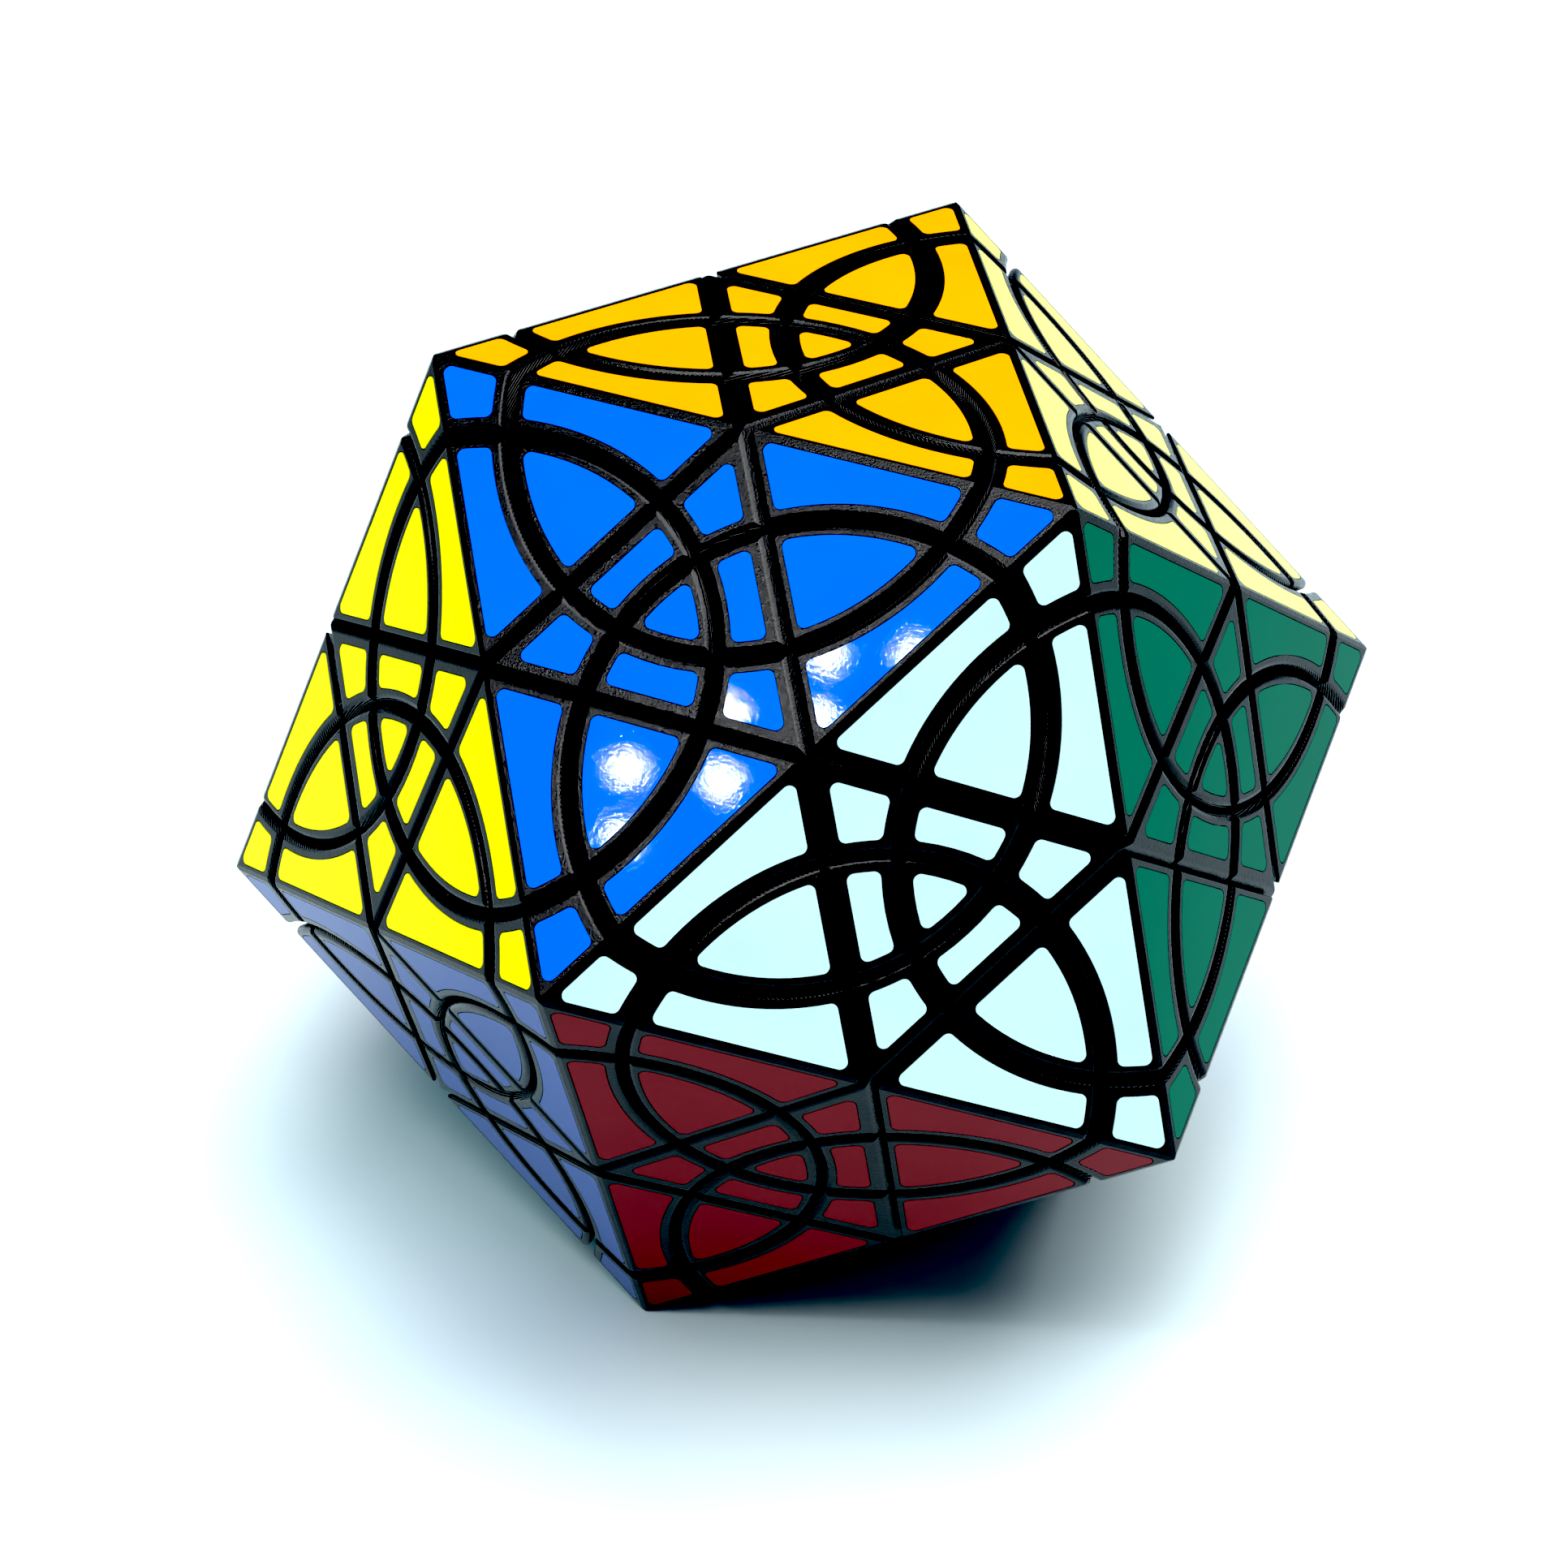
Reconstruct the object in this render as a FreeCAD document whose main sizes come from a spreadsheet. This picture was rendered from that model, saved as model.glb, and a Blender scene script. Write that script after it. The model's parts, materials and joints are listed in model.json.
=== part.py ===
import FreeCAD, Part
import math
import os
from FreeCAD import Matrix, Placement, Rotation, Vector

# An icosahedral twisty puzzle. The origin is its centre and one face points up, along +Z.
# The edge of that face nearest -Y runs along X. Twelve tips turn about the five-fold axes.

GOLDEN = (1 + math.sqrt(5)) / 2

# Driving dimensions, in millimetres unless the name says ratio or slope.
DIMENSIONS = {
    "edge_length": 55.0,
    "vertex_ratio": math.sqrt(GOLDEN * math.sqrt(5)) / 2,  # centre to vertex, per edge length
    "middle_ratio": GOLDEN / 2,  # centre to the middle of an edge
    "face_ratio": GOLDEN**2 / (2 * math.sqrt(3)),  # centre to a face
    "tip_plane_ratio": math.sqrt(GOLDEN**3 / math.sqrt(5)) / 2,  # centre to a tip's base plane
    "edge_flat": 0.5,  # width of the narrow flat along each edge of the icosahedron
    "cone_slope": 0.3873,  # radius gained per millimetre along an edge cone
    "cone_apex": 7.48,  # the cone's apex lies this far behind the centre
    "cone_start": 6.0,
    "cone_end": 64.0,
    "piece_gap": 0.56,  # width of a groove on the face
    "rounding_reach": 0.55,  # how far the rounded shoulders of a groove reach onto the face
    "rounding_limit": 0.7,  # the largest radius of those shoulders
    "sticker_margin": 0.98,  # from the piece's wall to its sticker, on the face
    "sticker_edge_margin": 0.62,  # from the icosahedron's edge to a sticker
    "sticker_thickness": 0.25,
    "sticker_corner": 0.6,
    "no_play": 0.0,
    "recess_play": 0.08,  # side play of a sticker in its recess
    "recess_depth": 0.27,
    "edge_piece_inner": 26.0,  # where the edge centres end, along their own axes
    "rectangle_inner": 30.2,  # where the rectangles end, along their own axes
    "half_space": 46.0,  # radius of the cylinders that stand for half spaces
    "far": 66.0,  # outside everything
    "foot_bottom": 33.2,
    "foot_step": 35.2,
    "foot_lip": 15.5,
    "foot_neck": 12.5,
    "running_play": 0.4,
    "stem_bottom": 21.0,
    "stem_top": 41.0,
    "stem_radius": 4.6,
    "edge_foot_bottom": 20.5,
    "edge_foot_top": 28.4,
    "edge_foot_radius": 4.4,
    "cap_split": 39.5,
    "cap_plug": 3.0,
    "floor_thickness": 2.0,
    "chamber_radius": 3.3,
    "corner_chamber_top": 35.0,
    "face_foot_inner": 22.6,
    "face_foot_outer": 25.0,
    "face_foot_radius": 7.6,
    "core_radius": 12.0,
    "post_radius": 2.4,
    "corner_post_top": 20.4,
    "edge_post_top": 19.9,
    "post_hole_bottom": 9.5,
    "post_hole_radius": 1.3,
    "thread_radius": 1.25,
    "shank_radius": 1.5,
    "screw_hole_radius": 1.75,
    "screw_engagement": 8.0,
    "spring_height": 4.9,
    "spring_radius": 2.4,
    "spring_wire": 0.32,
    "spring_turns": 3.5,
    "stack_play": 0.1,
    "washer_thickness": 0.6,
    "washer_radius": 2.95,
    "head_height": 2.2,
    "head_radius": 2.8,
    "socket_radius": 1.3,
    "socket_depth": 1.3,
}

os.makedirs("parts", exist_ok=True)
doc = FreeCAD.newDocument("icosahedral_puzzle")
sheet = doc.addObject("Spreadsheet::Sheet", "dims")
for row, (alias, value) in enumerate(DIMENSIONS.items(), start=1):
    sheet.set(f"A{row}", alias)
    sheet.set(f"B{row}", repr(value))
    sheet.setAlias(f"B{row}", alias)
doc.recompute()


def size(alias):
    return float(sheet.get(alias))


# ---- the icosahedron's symmetry ----


def icosahedron_vertices():
    """Level name to its three vertices, from the top face down."""
    edge = size("edge_length")
    small_ring = edge / math.sqrt(3)
    wide_ring = small_ring * GOLDEN
    high = edge * size("face_ratio")
    low = small_ring / (2 * GOLDEN)
    rings = {
        "top": (small_ring, high, 90),
        "upper": (wide_ring, low, 30),
        "lower": (wide_ring, -low, 90),
        "bottom": (small_ring, -high, 30),
    }
    levels = {}
    for level, (radius, height, phase) in rings.items():
        turns = [math.radians(phase + 120 * k) for k in range(3)]
        levels[level] = [Vector(radius * math.cos(a), radius * math.sin(a), height) for a in turns]
    return levels


LEVELS = icosahedron_vertices()
TIP_NAMES = [f"{level}_{k + 1}" for level in LEVELS for k in range(3)]
VERTICES = [vertex for level in LEVELS.values() for vertex in level]


def are_neighbours(i, j):
    return i != j and (VERTICES[i] - VERTICES[j]).Length < size("edge_length") * 1.01


def unit(vector):
    return Vector(vector).normalize()


def middle(i, j):
    return unit(VERTICES[i] + VERTICES[j])


def neighbours(i):
    return [k for k in range(12) if are_neighbours(i, k)]


# The base edge runs from A to B on the top face ABD. C is the far vertex across that edge.
D, A, B = 0, 1, 2
C = next(k for k in neighbours(A) if k != D and are_neighbours(k, B))
UP = Vector(0, 0, 1)
DIRECTED_EDGES = [(i, j) for i in range(12) for j in neighbours(i)]


def edge_frame(i, j):
    """Columns: the vertex's direction, the edge's direction across it, and their product."""
    first = unit(VERTICES[i])
    third = unit(first.cross(VERTICES[j]))
    second = third.cross(first)
    rows = [(first.x, second.x, third.x), (first.y, second.y, third.y), (first.z, second.z, third.z)]
    return Matrix(*rows[0], 0, *rows[1], 0, *rows[2], 0, 0, 0, 0, 1)


BASE_INVERSE = edge_frame(A, B).inverse()


def turn_to(i, j):
    """The rotation that takes the base edge A to B onto the edge i to j."""
    return Placement(edge_frame(i, j).multiply(BASE_INVERSE))


def left_vertex(i, j):
    """The third vertex of the face that turn_to(i, j) makes from the top face."""
    place = turn_to(i, j).multVec(VERTICES[D])
    return min(range(12), key=lambda k: (VERTICES[k] - place).Length)


# ---- building blocks bound to the sheet ----


def along(direction):
    return Placement(Vector(0, 0, 0), Rotation(Vector(0, 0, 1), direction))


tool_cache = {}


def cylinder(name, direction, start, end, radius):
    """A cylinder about an axis through the centre. start, end and radius are expressions."""
    key = ("cylinder", tuple(round(v, 6) for v in direction), start, end, radius)
    if key not in tool_cache:
        tool = doc.addObject("Part::Cylinder", name)
        tool.setExpression("Radius", radius)
        tool.setExpression("Height", f"({end}) - ({start})")
        tool.Placement = along(direction)
        for letter, part in zip("xyz", direction):
            tool.setExpression(f".Placement.Base.{letter}", f"({start}) * ({part:.12f})")
        tool_cache[key] = tool
    return tool_cache[key]


def cone(i, j, offset):
    """The cone about the axis through the middle of edge i-j, its wall moved out by offset."""
    key = ("cone", i, j, offset) if i < j else ("cone", j, i, offset)
    if key not in tool_cache:
        stretch = f"({offset}) * sqrt(1 + dims.cone_slope ^ 2)"
        tool = doc.addObject("Part::Cone", "edge_cone")
        for radius, place in (("Radius1", "cone_start"), ("Radius2", "cone_end")):
            tool.setExpression(radius, f"(dims.{place} + dims.cone_apex) * dims.cone_slope + {stretch}")
        tool.setExpression("Height", "dims.cone_end - dims.cone_start")
        direction = middle(i, j)
        tool.Placement = along(direction)
        for letter, part in zip("xyz", direction):
            tool.setExpression(f".Placement.Base.{letter}", f"dims.cone_start * ({part:.12f})")
        tool_cache[key] = tool
    return tool_cache[key]


# The sine of the angle between a tip's base plane and the faces that it cuts.
PLANE_TILT = "sqrt(1 - (dims.face_ratio / dims.vertex_ratio) ^ 2)"


def above_tip_plane(i, offset):
    """Everything beyond the base plane of the tip at vertex i. The offset is measured on a face."""
    plane = f"dims.edge_length * dims.tip_plane_ratio + ({offset}) * {PLANE_TILT}"
    return cylinder("tip_space", unit(VERTICES[i]), plane, "dims.far", "dims.half_space")


def fuse(name, *shapes):
    result = doc.addObject("Part::MultiFuse", name)
    result.Shapes = list(shapes)
    return result


def common(name, base, tools):
    for tool in tools:
        result = doc.addObject("Part::Common", name)
        result.Base, result.Tool = base, tool
        base = result
    return base


def cut(name, base, tools):
    for tool in tools:
        result = doc.addObject("Part::Cut", name)
        result.Base, result.Tool = base, tool
        base = result
    return base


def region(name, blank, offset, inside=(), outside=(), above=(), below=()):
    """The part of a blank bounded by edge cones and tip planes, held offset away from each."""
    kept = [cone(i, j, f"-({offset})") for i, j in inside]
    kept += [above_tip_plane(i, offset) for i in above]
    removed = [cone(i, j, offset) for i, j in outside]
    removed += [above_tip_plane(i, f"-({offset})") for i in below]
    return cut(name, common(name, blank, kept), removed)


def polyhedron(name, polygons):
    faces = [Part.Face(Part.makePolygon(points + points[:1])) for points in polygons]
    shell = Part.makeShell(faces)
    shell.sewShape()
    solid = Part.makeSolid(shell)
    if solid.Volume < 0:
        solid.reverse()
    result = doc.addObject("Part::Feature", name)
    result.Shape = solid
    return result


def icosahedron():
    """The whole puzzle's outside, with a narrow flat along each edge."""
    half_dihedral = math.pi / 2 - math.acos(size("face_ratio") / size("middle_ratio"))
    inset = size("edge_flat") / 2 / math.sin(half_dihedral)
    drop = inset * math.cos(half_dihedral) * size("vertex_ratio") / size("middle_ratio")
    apexes = [vertex - unit(vertex) * drop for vertex in VERTICES]
    inward = inset / (size("edge_length") / math.sqrt(12))
    inner = {}
    for i, j in DIRECTED_EDGES:
        k = left_vertex(i, j)
        centre = (VERTICES[i] + VERTICES[j] + VERTICES[k]) / 3
        inner[(i, j)] = VERTICES[i] + (centre - VERTICES[i]) * inward
    polygons = []
    for i, j in DIRECTED_EDGES:
        k = left_vertex(i, j)
        if i < j and i < k:
            polygons.append([inner[(i, j)], inner[(j, k)], inner[(k, i)]])
        if i < j:
            far_side = left_vertex(j, i)
            polygons.append(
                [apexes[i], inner[(i, j)], inner[(j, k)], apexes[j], inner[(j, i)], inner[(i, far_side)]]
            )
    return polyhedron("icosahedron", polygons)


BODY = icosahedron()
HALF_GAP = "dims.piece_gap / 2"


def body_beyond(direction, distance):
    """The part of the icosahedron that lies further out than distance along a direction."""
    outer_space = cylinder("outer_space", direction, distance, "dims.far", "dims.half_space")
    return common("outer_body", BODY, [outer_space])


# ---- the turning tips ----


def tip_foot(i, play, name):
    """The stepped round foot of a tip, or with play the room that it turns in."""
    axis = unit(VERTICES[i])
    plane = f"dims.edge_length * dims.tip_plane_ratio + {HALF_GAP} + 0.5"
    bottom = f"dims.foot_bottom - {play}"
    lip = cylinder(name, axis, bottom, f"dims.foot_step + {play}", f"dims.foot_lip + {play}")
    neck = cylinder(name, axis, bottom, plane, f"dims.foot_neck + {play}")
    return [lip, neck]


def stem_room(i):
    radius = "dims.stem_radius + dims.running_play"
    return cylinder("stem_room", unit(VERTICES[i]), "dims.core_radius", "dims.far", radius)


def tip_room(i):
    """What the root pieces leave free for the tip at vertex i."""
    foot_room = tip_foot(i, "dims.running_play", "foot_room")
    return [above_tip_plane(i, f"-{HALF_GAP}"), *foot_room, stem_room(i)]


TIP_SPACE = common("tip_cap", BODY, [above_tip_plane(A, HALF_GAP)])
TIP_BLANK = fuse("tip_blank", TIP_SPACE, *tip_foot(A, "0", "tip_foot"))
TIP_RING = cut("tip_ring", TIP_BLANK, [stem_room(A)])
STRIP = region("strip_shape", TIP_RING, HALF_GAP, inside=[(A, B)], outside=[(A, D), (A, C)])
PETAL = region("petal_shape", TIP_RING, HALF_GAP, inside=[(A, B), (A, D)])


def screw_hole(axis, bottom, chamber_top):
    """A hole for the shank and, above the floor, the chamber for the spring and the head."""
    floor = f"{bottom} + dims.floor_thickness"
    shank = cylinder("shank_hole", axis, "dims.core_radius", chamber_top, "dims.screw_hole_radius")
    chamber = cylinder("chamber", axis, floor, chamber_top, "dims.chamber_radius")
    return [shank, chamber]


TIP_AXIS = unit(VERTICES[A])
CORNER_TOP = region("corner_top", TIP_SPACE, HALF_GAP, outside=[(A, k) for k in neighbours(A)])
CORNER_STEM = cylinder("corner_stem", TIP_AXIS, "dims.stem_bottom", "dims.stem_top", "dims.stem_radius")
CORNER_BLANK = fuse("corner_blank", CORNER_TOP, CORNER_STEM)
CORNER_HOLE = screw_hole(TIP_AXIS, "dims.stem_bottom", "dims.corner_chamber_top")
CORNER = cut("corner_shape", CORNER_BLANK, CORNER_HOLE)


# ---- the pieces fixed to the core ----


def edge_foot(i, j, play):
    ends = (f"dims.edge_foot_bottom - {play}", f"dims.edge_foot_top + {play}")
    return cylinder("edge_foot", middle(i, j), *ends, f"dims.edge_foot_radius + {play}")


EDGE_BODY = body_beyond(middle(A, B), "dims.edge_piece_inner")
NEXT_EDGES = [(A, D), (B, D), (A, C), (B, C)]
EDGE_REGION = region("edge_region", EDGE_BODY, HALF_GAP, inside=[(A, B)], outside=NEXT_EDGES)
EDGE_TOP = cut("edge_top", EDGE_REGION, tip_room(A) + tip_room(B))
EDGE_BLANK = fuse("edge_blank", EDGE_TOP, edge_foot(A, B, "0"))
EDGE_HOLE = screw_hole(middle(A, B), "dims.edge_foot_bottom", "dims.cap_split")
EDGE_WHOLE = cut("edge_whole", EDGE_BLANK, EDGE_HOLE)
CAP_SPACE = cylinder("cap_space", middle(A, B), "dims.cap_split", "dims.far", "dims.half_space")
EDGE_CENTRE = cut("edge_centre_shape", EDGE_WHOLE, [CAP_SPACE])
PLUG_BOTTOM = "dims.cap_split - dims.cap_plug"
PLUG_RADIUS = "dims.chamber_radius - dims.stack_play"
CAP_PLUG = cylinder("cap_plug", middle(A, B), PLUG_BOTTOM, "dims.cap_split", PLUG_RADIUS)
EDGE_CAP = fuse("edge_cap_shape", common("edge_cap_top", EDGE_WHOLE, [CAP_SPACE]), CAP_PLUG)
RECTANGLE_BODY = body_beyond(unit(middle(A, B) + middle(A, D)), "dims.rectangle_inner")
TWO_CONES = [(A, B), (A, D)]
RECTANGLE_REGION = region("rectangle_region", RECTANGLE_BODY, HALF_GAP, inside=TWO_CONES, outside=[(B, D)])
RECTANGLE = cut("rectangle_shape", RECTANGLE_REGION, tip_room(A))


def face_centre():
    """A curved triangular pillar on a three-lobed foot that lies under its neighbours."""
    three_edges = [(A, B), (B, D), (A, D)]
    pillar = region("face_pillar", body_beyond(UP, "dims.face_foot_inner"), HALF_GAP, inside=three_edges)
    foot = cylinder("face_foot", UP, "dims.face_foot_inner", "dims.face_foot_outer", "dims.face_foot_radius")
    room = [edge_foot(i, j, "dims.running_play") for i, j in three_edges]
    return cut("face_centre_shape", fuse("face_blank", pillar, foot), room)


FACE_CENTRE = face_centre()


# ---- rounded rims ----

SAME_PLANE = 2e-3


def plane_distance(face):
    """How far a flat face's plane lies from the centre."""
    return face.CenterOfMass.dot(face.normalAt(0, 0))


OUTER_DISTANCES = {round(plane_distance(face), 3) for face in BODY.Shape.Faces}


def is_flat(face):
    return isinstance(face.Surface, Part.Plane)


def is_outer(face):
    """True for a face on the icosahedron's own surface."""
    return is_flat(face) and min(abs(plane_distance(face) - outer) for outer in OUTER_DISTANCES) < SAME_PLANE


def rounding_radius(faces):
    """The fillet between an outer face and a wall that reaches the wanted way onto the face."""
    if not (is_flat(faces[0]) and is_flat(faces[1])):
        return size("rounding_reach")
    between = math.pi - faces[0].normalAt(0, 0).getAngle(faces[1].normalAt(0, 0))
    return min(size("rounding_reach") * math.tan(between / 2), size("rounding_limit"))


def rounded_rim(name, piece):
    """The piece with the edges rounded where its outer faces meet its walls."""
    rims = []
    for number, edge in enumerate(piece.Shape.Edges, start=1):
        faces = piece.Shape.ancestorsOfType(edge, Part.Face)
        if len(faces) == 2 and is_outer(faces[0]) != is_outer(faces[1]):
            radius = rounding_radius(faces)
            rims.append((number, radius, radius))
    result = doc.addObject("Part::Fillet", name)
    result.Base = piece
    result.Edges = rims
    return result


# ---- stickers and their recesses ----

TILES = {
    "corner": dict(above=[A], outside=[(A, B), (A, D)]),
    "strip": dict(above=[A], inside=[(A, B)], outside=[(A, D)]),
    "petal": dict(above=[A], inside=[(A, B), (A, D)]),
    "edge_cap": dict(inside=[(A, B)], outside=[(A, D), (B, D)], below=[A, B]),
    "rectangle": dict(inside=[(A, B), (A, D)], outside=[(B, D)], below=[A]),
    "face_centre": dict(inside=[(A, B), (A, D), (B, D)]),
}


def top_triangle(name, margin):
    """The top face as a flat sheet, its sides set in from the icosahedron's edges."""
    top = size("edge_length") * size("face_ratio")
    inradius = size("edge_length") / math.sqrt(12)
    scale = 1 - margin / inradius
    corners = [Vector(VERTICES[k].x * scale, VERTICES[k].y * scale, top) for k in (D, A, B)]
    result = doc.addObject("Part::Feature", name)
    result.Shape = Part.Face(Part.makePolygon(corners + corners[:1]))
    return result


def upright_numbers(shape):
    """Numbers of the edges of a flat plate that run straight down."""
    numbered = enumerate(shape.Edges, start=1)
    return [n for n, edge in numbered if max(edge.BoundBox.XLength, edge.BoundBox.YLength) < 1e-4]


def plate(name, outline, depth, radius):
    """A flat outline made into a plate under the top face, its corners rounded."""
    sharp = doc.addObject("Part::Extrusion", f"{name}_sharp")
    sharp.Base = outline
    sharp.DirMode = "Custom"
    sharp.Dir = Vector(0, 0, -1)
    sharp.setExpression("LengthFwd", depth)
    sharp.Solid = True
    doc.recompute()
    rounded = doc.addObject("Part::Fillet", name)
    rounded.Base = sharp
    rounded.Edges = [(number, radius, radius) for number in upright_numbers(sharp.Shape)]
    return rounded


def plates(name, play, depth):
    """The sticker shapes of the top face, or with play the recesses that they lie in."""
    triangle = top_triangle(f"{name}_triangle", size("sticker_edge_margin") - size(play))
    margin = f"dims.piece_gap / 2 + dims.sticker_margin - dims.{play}"
    radius = size("sticker_corner") + size(play)
    made = {}
    for kind, bounds in TILES.items():
        outline = region(f"{kind}_{name}_outline", triangle, margin, **bounds)
        made[kind] = plate(f"{kind}_{name}", outline, depth, radius)
    return made


STICKERS = plates("sticker", "no_play", "dims.sticker_thickness")
RECESSES = plates("recess", "recess_play", "dims.recess_depth")
doc.recompute()


def across_edge(shape):
    """The mirror image of a shape in the plane through the base edge and the centre."""
    return shape.mirror(Vector(0, 0, 0), VERTICES[A].cross(VERTICES[B]))


def turned(shape, i, j):
    copy = shape.copy()
    copy.Placement = turn_to(i, j).multiply(copy.Placement)
    return copy


# The rotations that carry one recess onto every sticker of its own piece.
AROUND_CORNER = [(A, k) for k in neighbours(A)]
HALF_TURN = [(A, B), (B, A)]
ONLY = [(A, B)]


def tile_set(kind, plates):
    """All the stickers, or all the recesses, of one piece in its base position."""
    shape = plates[kind].Shape
    if kind == "strip":
        return [shape, across_edge(shape)]
    turns = {"corner": AROUND_CORNER, "edge_cap": HALF_TURN}.get(kind, ONLY)
    return [turned(shape, i, j) for i, j in turns]


def master(name, kind, piece):
    """A piece's finished shape, with its sticker recesses cut."""
    result = doc.addObject("Part::Feature", name)
    result.Shape = piece.Shape.cut(tile_set(kind, RECESSES))
    return result


SHARP = {
    "corner": CORNER,
    "strip": STRIP,
    "petal": PETAL,
    "edge_cap": EDGE_CAP,
    "rectangle": RECTANGLE,
    "face_centre": FACE_CENTRE,
}
ROUNDED = {kind: rounded_rim(f"{kind}_rim", piece) for kind, piece in SHARP.items()}
doc.recompute()
MASTERS = {kind: master(f"{kind}_master", kind, piece) for kind, piece in ROUNDED.items()}


# ---- the core, and what holds the pieces to it ----

CORNER_AXES = [unit(vertex) for vertex in VERTICES]
EDGE_AXES = [middle(i, j) for i, j in DIRECTED_EDGES if i < j]


def core():
    """A ball with a threaded post on each of the 42 axes."""
    ball = doc.addObject("Part::Sphere", "core_ball")
    ball.setExpression("Radius", "dims.core_radius")
    start = "dims.post_hole_bottom"
    posts = []
    holes = []
    for kind, axes in (("corner", CORNER_AXES), ("edge", EDGE_AXES)):
        for axis in axes:
            posts.append(cylinder(f"{kind}_post", axis, start, f"dims.{kind}_post_top", "dims.post_radius"))
            holes.append(cylinder("post_hole", axis, start, "dims.stem_bottom", "dims.post_hole_radius"))
    return cut("core_shape", fuse("core_blank", ball, *posts), [fuse("post_holes", *holes)])


def screw(name, post_top, head_start):
    """A cap screw on the +Z axis, from its threaded end in the post to its socket head."""
    tip = f"{post_top} - dims.screw_engagement"
    head_end = f"{head_start} + dims.head_height"
    thread = cylinder(f"{name}_thread", UP, tip, post_top, "dims.thread_radius")
    shank = cylinder(f"{name}_shank", UP, post_top, head_start, "dims.shank_radius")
    head = cylinder(f"{name}_head", UP, head_start, head_end, "dims.head_radius")
    socket = doc.addObject("Part::Prism", f"{name}_socket")
    socket.Polygon = 6
    socket.setExpression("Circumradius", "dims.socket_radius")
    socket.setExpression("Height", "dims.socket_depth + dims.stack_play")
    socket.setExpression(".Placement.Base.z", f"{head_end} - dims.socket_depth")
    return cut(f"{name}_shape", fuse(f"{name}_blank", thread, shank, head), [socket])


def spring(name, start):
    """A square-wire compression spring on the +Z axis."""
    path = doc.addObject("Part::Helix", f"{name}_path")
    path.setExpression("Radius", "dims.spring_radius")
    path.setExpression("Height", "dims.spring_height - 2 * dims.spring_wire")
    path.setExpression("Pitch", "(dims.spring_height - 2 * dims.spring_wire) / dims.spring_turns")
    path.setExpression(".Placement.Base.z", f"{start} + dims.spring_wire")
    wire = doc.addObject("Part::RegularPolygon", f"{name}_wire")
    wire.Polygon = 4
    wire.setExpression("Circumradius", "dims.spring_wire")
    wire.Placement = Placement(Vector(0, 0, 0), Rotation(Vector(1, 0, 0), 90))
    wire.setExpression(".Placement.Base.x", "dims.spring_radius")
    wire.setExpression(".Placement.Base.z", f"{start} + dims.spring_wire")
    coil = doc.addObject("Part::Sweep", f"{name}_shape")
    coil.Sections = [wire]
    coil.Spine = (path, ["Edge1"])
    coil.Frenet = True
    coil.Solid = True
    return coil


def washer(name, start):
    end = f"{start} + dims.washer_thickness"
    disc = cylinder(f"{name}_disc", UP, start, end, "dims.washer_radius")
    return cut(name, disc, [cylinder(f"{name}_hole", UP, start, end, "dims.screw_hole_radius")])


def fastener_stack(name, bottom, post_top):
    """Screw, spring and washer for one axis. bottom is where the held piece's stem begins."""
    spring_start = f"{bottom} + dims.floor_thickness + dims.stack_play"
    washer_start = f"{spring_start} + dims.spring_height + dims.stack_play"
    head_start = f"{washer_start} + dims.washer_thickness + dims.stack_play"
    return {
        f"{name}_screws": screw(f"{name}_screw", post_top, head_start),
        f"{name}_springs": spring(f"{name}_spring", spring_start),
        f"{name}_washers": washer(f"{name}_washer", washer_start),
    }


CORE = core()
CORNER_STACK = fastener_stack("corner", "dims.stem_bottom", "dims.corner_post_top")
EDGE_STACK = fastener_stack("edge", "dims.edge_foot_bottom", "dims.edge_post_top")
doc.recompute()

# ---- nodes ----


def on_axis(shape, direction):
    """A copy of a shape made on the +Z axis, turned onto another axis through the centre."""
    copy = shape.copy()
    copy.Placement = along(direction).multiply(copy.Placement)
    return copy


def copies(kind, turns):
    return [turned(MASTERS[kind].Shape, i, j) for i, j in turns]


def sticker_copies(kind, turns):
    return [turned(sticker, i, j) for sticker in tile_set(kind, STICKERS) for i, j in turns]


def tip_nodes(i, tip):
    """The four nodes of one turning tip: its hub, its two rings of pieces and its stickers."""
    spokes = [(i, k) for k in neighbours(i)]
    stickers = sticker_copies("corner", spokes[:1]) + sticker_copies("strip", spokes)
    return {
        f"corner_{tip}": copies("corner", spokes[:1]),
        f"strips_{tip}": copies("strip", spokes),
        f"petals_{tip}": copies("petal", spokes),
        f"stickers_{tip}": stickers + sticker_copies("petal", spokes),
    }


def one_turn_per_face():
    return [(i, j) for i, j in DIRECTED_EDGES if i < min(j, left_vertex(i, j))]


def fixed_nodes():
    """Everything that stays with the core."""
    faces = one_turn_per_face()
    edges = [(i, j) for i, j in DIRECTED_EDGES if i < j]
    stickers = sticker_copies("edge_cap", edges) + sticker_copies("rectangle", DIRECTED_EDGES)
    nodes = {
        "core": [CORE.Shape],
        "edge_centres": [turned(EDGE_CENTRE.Shape, i, j) for i, j in edges],
        "edge_caps": copies("edge_cap", edges),
        "rectangles": copies("rectangle", DIRECTED_EDGES),
        "face_centres": copies("face_centre", faces),
        "fixed_stickers": stickers + sticker_copies("face_centre", faces),
    }
    for stack, axes in ((CORNER_STACK, CORNER_AXES), (EDGE_STACK, EDGE_AXES)):
        for node, piece in stack.items():
            nodes[node] = [on_axis(piece.Shape, axis) for axis in axes]
    return nodes


def add_node(name, shapes):
    node = doc.addObject("Part::Feature", name)
    node.Label = name
    node.Shape = shapes[0] if len(shapes) == 1 else Part.makeCompound(shapes)
    return node


NODES = [add_node(name, shapes) for name, shapes in fixed_nodes().items()]
for number, tip_name in enumerate(TIP_NAMES):
    NODES += [add_node(name, shapes) for name, shapes in tip_nodes(number, tip_name).items()]
doc.recompute()

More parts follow.
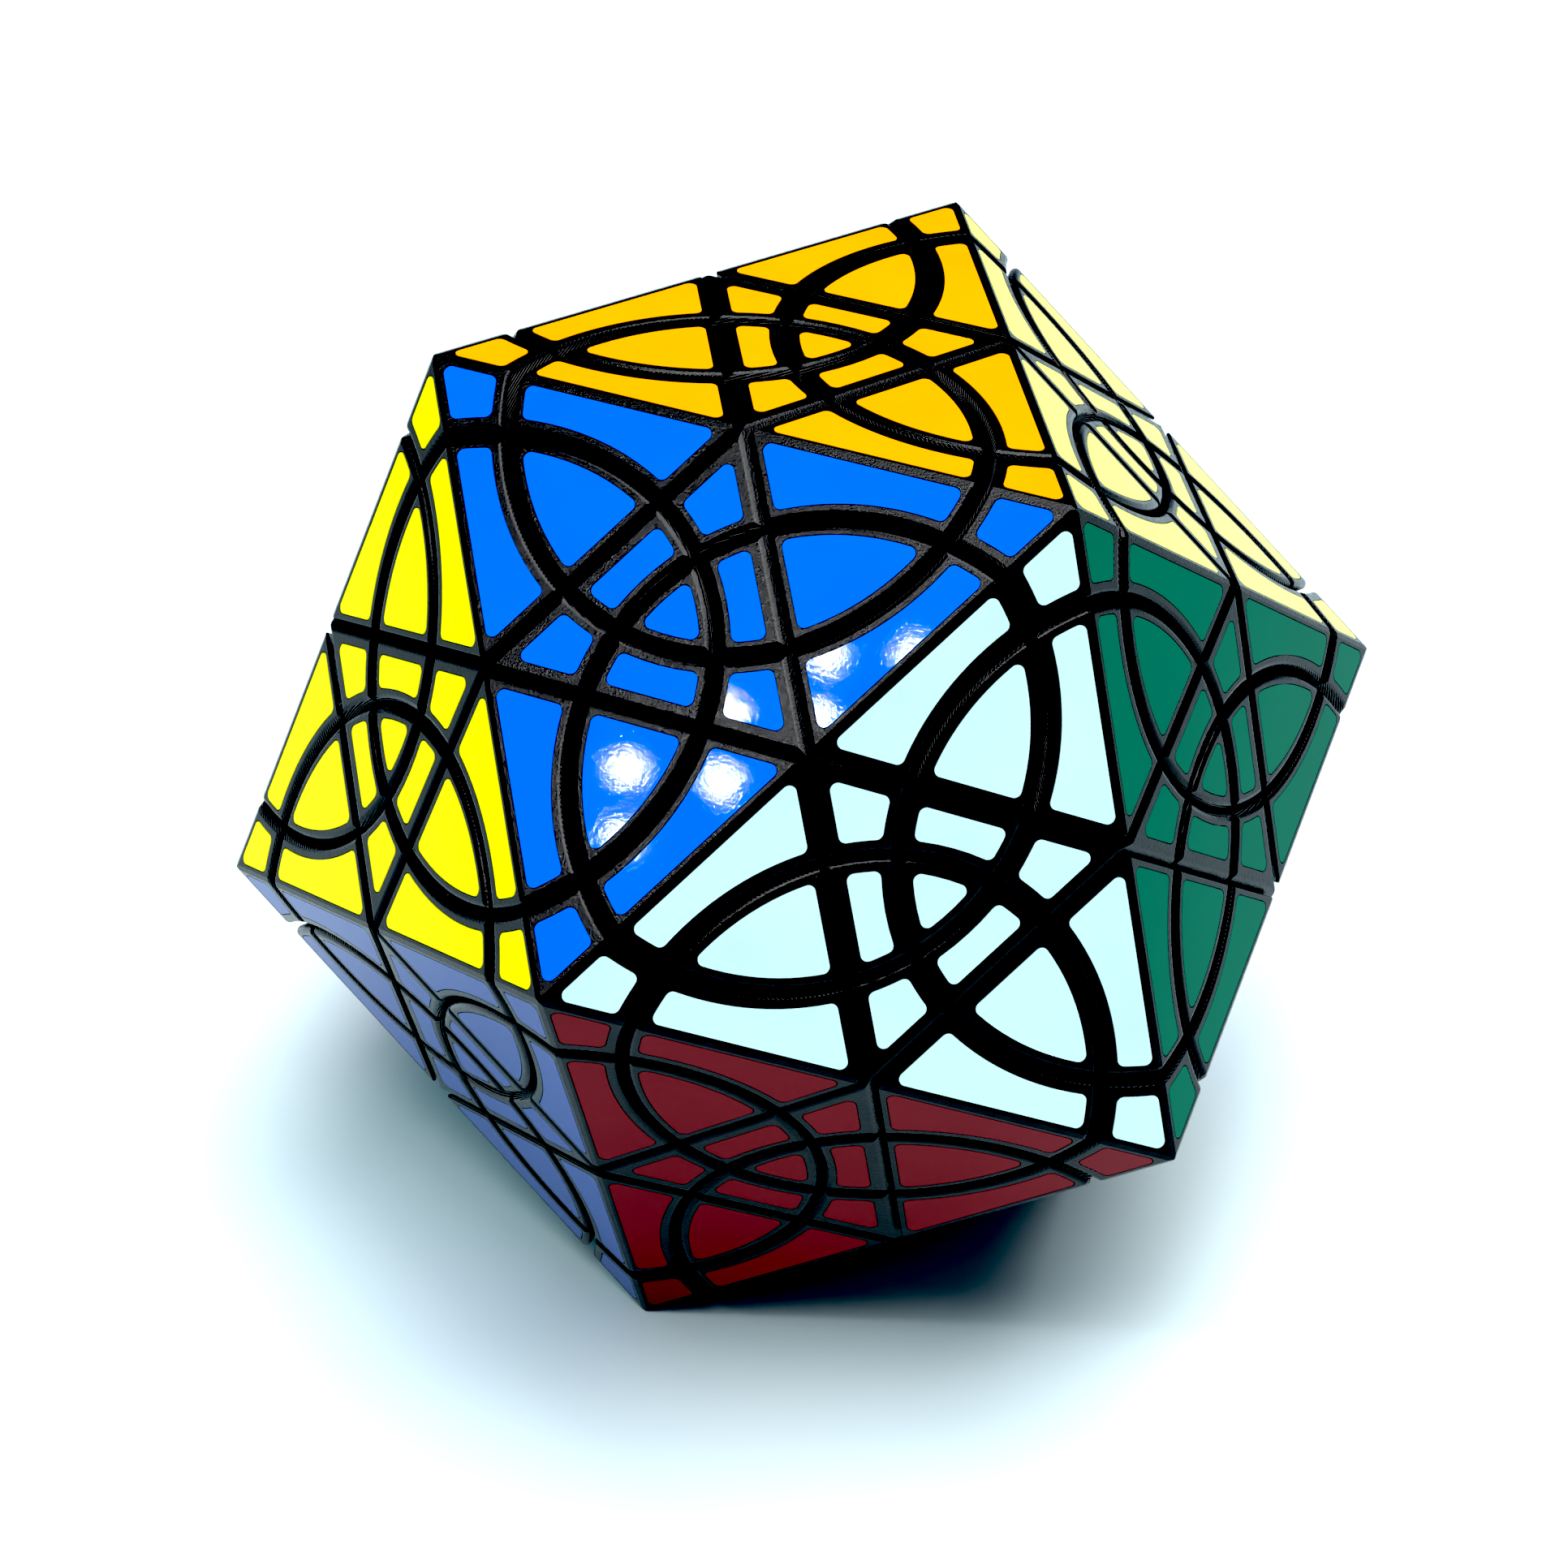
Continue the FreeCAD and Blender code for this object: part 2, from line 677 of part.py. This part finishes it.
for item in doc.Objects:
    if "Invalid" in item.State or "Error" in item.State:
        raise SystemExit(f"{item.Label} failed: {item.State}")
for node in NODES:
    if node.Shape.isNull() or not node.Shape.isValid():
        raise SystemExit(f"{node.Label} has no valid shape")
    print(node.Label, len(node.Shape.Solids), "solids,", round(node.Shape.Volume, 1), "cubic mm")
    node.Shape.exportStep(f"parts/{node.Label}.step")
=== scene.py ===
import json
import math
import bmesh
import bpy
from mathutils import Euler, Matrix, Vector


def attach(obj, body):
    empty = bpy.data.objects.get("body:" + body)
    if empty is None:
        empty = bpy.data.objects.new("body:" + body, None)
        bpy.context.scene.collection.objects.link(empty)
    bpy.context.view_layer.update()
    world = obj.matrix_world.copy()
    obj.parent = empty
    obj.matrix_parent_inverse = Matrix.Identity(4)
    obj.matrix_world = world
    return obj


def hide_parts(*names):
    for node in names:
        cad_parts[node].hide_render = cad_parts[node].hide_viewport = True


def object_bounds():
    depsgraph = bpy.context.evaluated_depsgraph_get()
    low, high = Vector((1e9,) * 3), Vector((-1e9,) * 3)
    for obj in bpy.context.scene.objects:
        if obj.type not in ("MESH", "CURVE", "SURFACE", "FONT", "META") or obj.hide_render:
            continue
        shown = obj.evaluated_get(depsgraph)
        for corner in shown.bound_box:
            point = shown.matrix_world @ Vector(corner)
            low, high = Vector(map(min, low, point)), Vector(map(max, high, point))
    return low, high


# The looks of an icosahedral twisty puzzle: black printed pieces and glossy vinyl stickers.

MM = 0.001

# The camera, in metres and degrees.
CAMERA_PLACE = Vector((0.07815, -0.19895, 0.15040))
CAMERA_TURN = (54.141, -1.528, 24.196)
CAMERA_LENS = 66.14
CAMERA_SENSOR = 36.0
CAMERA_SHIFT = (0.0336, 0.0043)

# Each face's colour, and the three tips at its corners.
FACES = {
    "orange": ("#E39B00", "top_1 top_2 top_3"),
    "blue": ("#0067E3", "top_2 top_3 upper_3"),
    "pale_yellow": ("#FFFF58", "top_1 top_3 upper_1"),
    "red": ("#C01019", "top_1 top_2 upper_2"),
    "yellow": ("#FFFA00", "top_2 upper_3 lower_2"),
    "white": ("#CCECF0", "top_3 upper_3 lower_3"),
    "green": ("#006A50", "top_3 upper_1 lower_3"),
    "light_blue": ("#51B2D6", "top_1 upper_1 lower_1"),
    "pink": ("#E37FA3", "top_1 upper_2 lower_1"),
    "lime": ("#6FBC1C", "top_2 upper_2 lower_2"),
    "maroon": ("#7C282C", "upper_3 lower_3 bottom_3"),
    "lavender": ("#485C9E", "upper_3 lower_2 bottom_3"),
    "purple": ("#5E1A8E", "upper_1 lower_1 bottom_1"),
    "tan": ("#B3905E", "upper_1 lower_3 bottom_1"),
    "navy": ("#0F1F61", "upper_2 lower_1 bottom_2"),
    "magenta": ("#C0177C", "upper_2 lower_2 bottom_2"),
    "grey": ("#7C7C7C", "lower_1 bottom_1 bottom_2"),
    "brown": ("#533318", "lower_3 bottom_1 bottom_3"),
    "teal": ("#1A938E", "lower_2 bottom_2 bottom_3"),
    "dark_orange": ("#E35E10", "bottom_1 bottom_2 bottom_3"),
}

# The soft lamps: azimuth and elevation in degrees, distance and width in metres, power in watts.
SOFT_LAMPS = {
    "soft_top": (45.0, 81.0, 1.0, 0.8, 16.5),
    "soft_front": (268.0, 66.0, 1.2, 0.4, 5.8),
}

# A short row of small lamps that shows as glints. Its ends are an azimuth and an elevation in degrees.
GLINT_COUNT = 7
GLINT_START = Vector((237.5, 50.5))
GLINT_END = Vector((242.0, 58.5))
GLINT_STAGGER = 1.2
GLINT_DISTANCE = 0.8
GLINT_WIDTH = 0.010
GLINT_POWER = 0.12

WORLD_COLOUR = (0.52, 0.78, 1.0)
WORLD_STRENGTH = 0.18
FLOOR_SIZE = 6.0
FLOOR_COLOUR = (0.76, 0.92, 0.97)
FLOOR_ROUGHNESS = 0.9
FILM_BLACK = 0.046

# Surface grain, in metres.
LAYER_HEIGHT = 0.22 * MM
PLASTIC_GRAIN = 0.16 * MM
PLASTIC_RELIEF = 0.07 * MM
VINYL_PEEL = 0.30 * MM
VINYL_WAVE = 1.8 * MM
VINYL_RELIEF = 0.0015 * MM
STICKER_BEVEL = 0.07 * MM
STICKER_WELD = 0.001 * MM

# How strongly each surface mirrors, and the parts of its relief against each other.
VINYL_SPECULAR = 0.08
PLASTIC_SPECULAR = 0.22
WAVE_SHARE = 0.3
RIPPLE_SHARE = 0.9
GRAIN_SHARE = 0.35
LAYER_WOBBLE = 2.5

# The two tones of each plastic, as linear colours.
BLACK_TONES = ((0.003, 0.003, 0.004), (0.010, 0.011, 0.013))
NYLON_TONES = ((0.55, 0.54, 0.50), (0.68, 0.67, 0.63))
VINYL_SHADE = 0.93
STEEL_SHADE = 0.8

# Noise stays mostly between these values.
NOISE_LOW = 0.3
NOISE_HIGH = 0.7

# How squarely a surface faces away from the centre, as a cosine: groove walls are below the first value,
# and the puzzle's own faces are above the second.
GROOVE_FACING = 0.45
OUTER_FACING = 0.75

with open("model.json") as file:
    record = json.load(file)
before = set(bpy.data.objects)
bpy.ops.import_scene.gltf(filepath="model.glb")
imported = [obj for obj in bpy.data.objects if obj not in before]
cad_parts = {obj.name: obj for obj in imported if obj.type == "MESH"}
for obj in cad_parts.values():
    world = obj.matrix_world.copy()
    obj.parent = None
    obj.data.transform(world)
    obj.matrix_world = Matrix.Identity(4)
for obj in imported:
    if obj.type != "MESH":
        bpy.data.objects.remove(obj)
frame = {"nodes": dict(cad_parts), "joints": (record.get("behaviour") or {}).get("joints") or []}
cad_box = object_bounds()
TIP_AXES = {joint["name"].removeprefix("turn_"): Vector(joint["axis"]) for joint in frame["joints"]}


# ---- colours and node helpers ----


def linear(text):
    """A #RRGGBB colour as linear values."""
    values = [int(text[k : k + 2], 16) / 255 for k in (1, 3, 5)]
    return [v / 12.92 if v <= 0.04045 else ((v + 0.055) / 1.055) ** 2.4 for v in values]


def new_material(name, **sockets):
    material = bpy.data.materials.new(name)
    material.use_nodes = True
    shader = material.node_tree.nodes["Principled BSDF"]
    for socket, value in sockets.items():
        shader.inputs[socket.replace("_", " ")].default_value = value
    return material, shader


def link(material, source, target):
    material.node_tree.links.new(source, target)


def place(material, output="Object"):
    """Where a point of the surface is, in the object's own space."""
    return material.node_tree.nodes.new("ShaderNodeTexCoord").outputs[output]


def noise(material, feature, detail=2.0):
    """Noise whose features have the given size in metres."""
    node = material.node_tree.nodes.new("ShaderNodeTexNoise")
    node.inputs["Scale"].default_value = 1 / feature
    node.inputs["Detail"].default_value = detail
    link(material, place(material), node.inputs["Vector"])
    return node.outputs["Fac"]


def maths(material, operation, *values):
    """A Math node. Each value is a number or another node's output."""
    node = material.node_tree.nodes.new("ShaderNodeMath")
    node.operation = operation
    for socket, value in zip(node.inputs, values):
        if isinstance(value, (int, float)):
            socket.default_value = value
        else:
            link(material, value, socket)
    return node.outputs[0]


def vector_maths(material, operation, *values):
    node = material.node_tree.nodes.new("ShaderNodeVectorMath")
    node.operation = operation
    for socket, value in zip(node.inputs, values):
        if isinstance(value, Vector):
            socket.default_value = value
        else:
            link(material, value, socket)
    return node


def remap(material, value, low, high, to_low, to_high):
    node = material.node_tree.nodes.new("ShaderNodeMapRange")
    link(material, value, node.inputs["Value"])
    for name, number in (("From Min", low), ("From Max", high), ("To Min", to_low), ("To Max", to_high)):
        node.inputs[name].default_value = number
    return node.outputs["Result"]


def two_tones(material, value, dark, light):
    """A colour that runs from dark to light as the value goes over the middle of its range."""
    node = material.node_tree.nodes.new("ShaderNodeValToRGB")
    node.color_ramp.elements[0].position = NOISE_LOW
    node.color_ramp.elements[0].color = (*dark, 1)
    node.color_ramp.elements[1].position = NOISE_HIGH
    node.color_ramp.elements[1].color = (*light, 1)
    link(material, value, node.inputs["Fac"])
    return node.outputs["Color"]


def set_roughness(material, shader, feature, detail, low, high):
    """A roughness that wanders between two values."""
    value = remap(material, noise(material, feature, detail), NOISE_LOW, NOISE_HIGH, low, high)
    link(material, value, shader.inputs["Roughness"])


def bump(material, height, distance, shader):
    node = material.node_tree.nodes.new("ShaderNodeBump")
    node.inputs["Strength"].default_value = 1.0
    node.inputs["Distance"].default_value = distance
    link(material, height, node.inputs["Height"])
    link(material, node.outputs["Normal"], shader.inputs["Normal"])


# ---- materials ----


def vinyl(name, colour):
    """Glossy vinyl with a slight orange peel."""
    material, shader = new_material(f"vinyl_{name}", Specular_IOR_Level=VINYL_SPECULAR)
    base = linear(colour)
    tone = two_tones(material, noise(material, 9 * MM), [c * VINYL_SHADE for c in base], base)
    link(material, tone, shader.inputs["Base Color"])
    set_roughness(material, shader, 3 * MM, 4.0, 0.01, 0.03)
    wave = maths(material, "MULTIPLY", noise(material, VINYL_WAVE, 1.0), WAVE_SHARE)
    height = maths(material, "ADD", noise(material, VINYL_PEEL, 3.0), wave)
    bump(material, height, VINYL_RELIEF, shader)
    return material


def on_outer_face(material):
    """1 on the puzzle's own faces and 0 on the walls of the grooves."""
    outward = vector_maths(material, "NORMALIZE", place(material)).outputs["Vector"]
    facing = vector_maths(material, "DOT_PRODUCT", place(material, "Normal"), outward).outputs["Value"]
    return remap(material, facing, GROOVE_FACING, OUTER_FACING, 0.0, 1.0)


def layers(material, height):
    """Ripples, one for each printed layer along a height in metres."""
    wobble = maths(material, "MULTIPLY", noise(material, 2 * MM), LAYER_WOBBLE)
    angle = maths(material, "MULTIPLY", height, 2 * math.pi / LAYER_HEIGHT)
    return maths(material, "SINE", maths(material, "ADD", angle, wobble))


def black_plastic(name, axis=None):
    """Black printed plastic, its layers across the axis, or round the centre with no axis."""
    material, shader = new_material(f"plastic_{name}", Specular_IOR_Level=PLASTIC_SPECULAR)
    tone = two_tones(material, noise(material, 1.5 * MM, 4.0), *BLACK_TONES)
    link(material, tone, shader.inputs["Base Color"])
    if axis:
        height = vector_maths(material, "DOT_PRODUCT", place(material), axis).outputs["Value"]
    else:
        height = vector_maths(material, "LENGTH", place(material)).outputs["Value"]
    fade = maths(material, "SUBTRACT", 1.0, on_outer_face(material))
    depth = maths(material, "MULTIPLY", fade, RIPPLE_SHARE)
    ripple = maths(material, "MULTIPLY", layers(material, height), depth)
    grain = maths(material, "MULTIPLY", noise(material, PLASTIC_GRAIN, 2.0), GRAIN_SHARE)
    bump(material, maths(material, "ADD", ripple, grain), PLASTIC_RELIEF, shader)
    set_roughness(material, shader, 0.4 * MM, 3.0, 0.08, 0.28)
    return material


def core_plastic():
    """Pale sintered nylon."""
    material, shader = new_material("nylon", Roughness=0.65, Subsurface_Weight=0.1)
    tone = two_tones(material, noise(material, 1 * MM, 4.0), *NYLON_TONES)
    link(material, tone, shader.inputs["Base Color"])
    bump(material, noise(material, 0.15 * MM), 0.03 * MM, shader)
    return material


def steel(name, shade, roughness):
    """Turned or drawn steel with fine marks."""
    material, shader = new_material(f"steel_{name}", Metallic=1.0)
    tone = two_tones(material, noise(material, 0.6 * MM, 3.0), [shade * STEEL_SHADE] * 3, [shade] * 3)
    link(material, tone, shader.inputs["Base Color"])
    set_roughness(material, shader, 0.2 * MM, 3.0, roughness * 0.7, roughness * 1.3)
    bump(material, noise(material, 0.12 * MM), 0.01 * MM, shader)
    return material


# ---- stickers ----

VINYL = {name: vinyl(name, colour) for name, (colour, _) in FACES.items()}
FACE_NORMALS = {
    name: sum((TIP_AXES[tip] for tip in tips.split()), Vector()).normalized()
    for name, (_, tips) in FACES.items()
}


def colour_at(face):
    """The name of the face of the puzzle that a sticker's mesh face lies on."""
    centre = face.calc_center_median()
    return max(FACE_NORMALS, key=lambda name: FACE_NORMALS[name].dot(centre))


def sticker_piece(node_name, body, colour, faces):
    """One piece from the mesh faces of a CAD sticker node that have one colour."""
    name = f"{colour}_{node_name}"
    mesh = bmesh.new()
    copies = {}
    for face in faces:
        for vertex in face.verts:
            if vertex not in copies:
                copies[vertex] = mesh.verts.new(vertex.co)
        mesh.faces.new([copies[vertex] for vertex in face.verts])
    bmesh.ops.dissolve_limit(mesh, angle_limit=math.radians(1), verts=mesh.verts, edges=mesh.edges)
    data = bpy.data.meshes.new(name)
    mesh.to_mesh(data)
    mesh.free()
    piece = bpy.data.objects.new(name, data)
    bpy.context.scene.collection.objects.link(piece)
    data.materials.append(VINYL[colour])
    bevel = piece.modifiers.new("soft_edge", "BEVEL")
    bevel.width = STICKER_BEVEL
    bevel.segments = 2
    bevel.limit_method = "ANGLE"
    bevel.angle_limit = math.radians(40)
    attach(piece, body)
    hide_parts(node_name)


def sticker_pieces(node_name, body):
    source = bmesh.new()
    source.from_mesh(frame["nodes"][node_name].data)
    bmesh.ops.remove_doubles(source, verts=source.verts, dist=STICKER_WELD)
    groups = {}
    for face in source.faces:
        groups.setdefault(colour_at(face), []).append(face)
    for colour, faces in sorted(groups.items()):
        sticker_piece(node_name, body, colour, faces)
    source.free()


def paint(node_name, material):
    """Gives a CAD node its material."""
    data = frame["nodes"][node_name].data
    data.materials.clear()
    data.materials.append(material)


def finish_nodes():
    fixed_plastic = black_plastic("fixed")
    for node_name in ("edge_centres", "edge_caps", "rectangles", "face_centres"):
        paint(node_name, fixed_plastic)
    paint("core", core_plastic())
    screw_steel = steel("screw", 0.62, 0.3)
    spring_steel = steel("spring", 0.5, 0.25)
    for place_name in ("corner", "edge"):
        paint(f"{place_name}_screws", screw_steel)
        paint(f"{place_name}_washers", screw_steel)
        paint(f"{place_name}_springs", spring_steel)
    sticker_pieces("fixed_stickers", "frame")
    for tip, axis in TIP_AXES.items():
        tip_plastic = black_plastic(f"tip_{tip}", axis)
        for kind in ("corner", "strips", "petals"):
            paint(f"{kind}_{tip}", tip_plastic)
        sticker_pieces(f"stickers_{tip}", f"tip_{tip}")


# ---- stage ----


def make_floor():
    bpy.ops.mesh.primitive_plane_add(size=FLOOR_SIZE, location=(0, 0, cad_box[0][2]))
    floor = bpy.context.object
    floor.name = "floor"
    material, shader = new_material("floor_paper", Roughness=FLOOR_ROUGHNESS)
    shader.inputs["Base Color"].default_value = (*FLOOR_COLOUR, 1)
    floor.data.materials.append(material)


def make_lamp(name, azimuth, elevation, distance, width, power):
    """A square lamp that points at the centre. Angles are in degrees."""
    lamp = bpy.data.lights.new(name, "AREA")
    lamp.size = width
    lamp.energy = power
    across = math.radians(azimuth)
    up = math.radians(elevation)
    direction = Vector((math.cos(across) * math.cos(up), math.sin(across) * math.cos(up), math.sin(up)))
    light = bpy.data.objects.new(name, lamp)
    light.location = direction * distance
    light.rotation_euler = (-direction).to_track_quat("-Z", "Y").to_euler()
    bpy.context.scene.collection.objects.link(light)


def make_camera():
    camera = bpy.data.objects.new("camera", bpy.data.cameras.new("camera"))
    camera.location = CAMERA_PLACE
    camera.rotation_euler = Euler([math.radians(angle) for angle in CAMERA_TURN], "XYZ")
    camera.data.lens = CAMERA_LENS
    camera.data.sensor_width = CAMERA_SENSOR
    camera.data.shift_x, camera.data.shift_y = CAMERA_SHIFT
    camera.data.clip_start = 0.01
    bpy.context.scene.collection.objects.link(camera)
    bpy.context.scene.camera = camera


def make_world():
    world = bpy.data.worlds.new("studio")
    bpy.context.scene.world = world
    world.use_nodes = True
    background = world.node_tree.nodes["Background"]
    background.inputs["Color"].default_value = (*WORLD_COLOUR, 1)
    background.inputs["Strength"].default_value = WORLD_STRENGTH


def set_film():
    """Plain colours with deep blacks."""
    view = bpy.context.scene.view_settings
    view.view_transform = "Standard"
    view.use_curve_mapping = True
    view.curve_mapping.black_level = (FILM_BLACK, FILM_BLACK, FILM_BLACK)
    view.curve_mapping.update()


finish_nodes()
make_floor()
for lamp_name, lamp_values in SOFT_LAMPS.items():
    make_lamp(lamp_name, *lamp_values)
for number in range(GLINT_COUNT):
    azimuth, elevation = GLINT_START.lerp(GLINT_END, number / (GLINT_COUNT - 1))
    azimuth += GLINT_STAGGER * (-1) ** number
    make_lamp(f"glint_{number}", azimuth, elevation, GLINT_DISTANCE, GLINT_WIDTH, GLINT_POWER)
make_world()
make_camera()
set_film()
